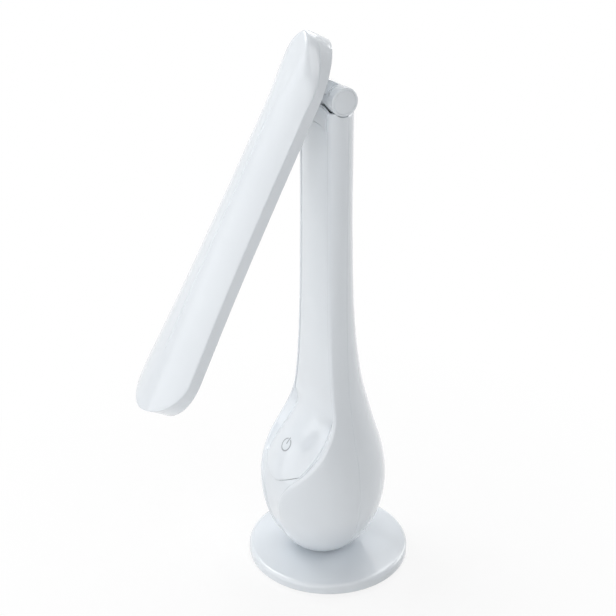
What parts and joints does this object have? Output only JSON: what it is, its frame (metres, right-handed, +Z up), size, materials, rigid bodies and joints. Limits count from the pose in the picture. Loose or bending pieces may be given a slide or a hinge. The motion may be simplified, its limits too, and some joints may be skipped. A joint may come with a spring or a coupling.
{
  "type": "folding_desk_lamp",
  "caption": "Folding LED desk lamp: a white vase-shaped stand on a round foot with a touch button, and a long flat light head hinged at the neck top",
  "frame": {"origin": "middle of the foot, on the table", "axes": "+Z up, the front with the touch button looks along -Y, the hinge axis is parallel to X"},
  "size_m": [0.111, 0.1909, 0.375],
  "materials": {
    "white_gloss": "glossy",
    "white_matte": "satin",
    "steel_weight": "brushed",
    "grey_rubber": "matte",
    "screw_steel": "satin",
    "symbol_grey": "satin",
    "copper": "satin",
    "lead_plastic": "satin",
    "board_green": "satin",
    "component_black": "matte",
    "wire_white": "satin",
    "washer_grey": "matte",
    "diffuser_opal": "satin",
    "board_white": "satin",
    "led_yellow": "satin"
  },
  "bodies": {
    "body": {"foot_disc": "white_gloss", "foot_bottom_cover": "white_matte", "foot_weight": "steel_weight", "rubber_feet": "grey_rubber", "foot_screws": "screw_steel", "body_screws": "screw_steel", "mounting_plate": "white_matte", "front_shell": "white_gloss", "rear_shell": "white_gloss", "front_panel": "white_gloss", "power_symbol": "symbol_grey", "touch_sensor": "copper", "touch_lead": "lead_plastic", "control_board": "board_green", "board_components": "component_black", "board_screws": "screw_steel", "dc_socket": "component_black", "socket_lead": "lead_plastic", "neck_wire": "wire_white", "hinge_cap_right": "white_gloss", "hinge_cap_left": "white_gloss", "friction_washers": "washer_grey", "spacer_washers": "washer_grey"},
    "head": {"hinge_bolts": "screw_steel", "hinge_arm": "white_gloss", "lid_screws": "screw_steel", "head_cover": "white_gloss", "head_frame": "white_matte", "diffuser": "diffuser_opal", "reflector": "white_matte", "led_board": "board_white", "leds": "led_yellow", "led_board_screws": "screw_steel", "head_screws": "screw_steel", "head_wire": "wire_white"}
  },
  "joints": [
    {"name": "head_tilt", "type": "hinge", "parent": "body", "child": "head", "pos_m": [0, -0.0025, 0.333], "axis": [-1, 0, 0], "range_deg": [-26.5, 92]}
  ]
}
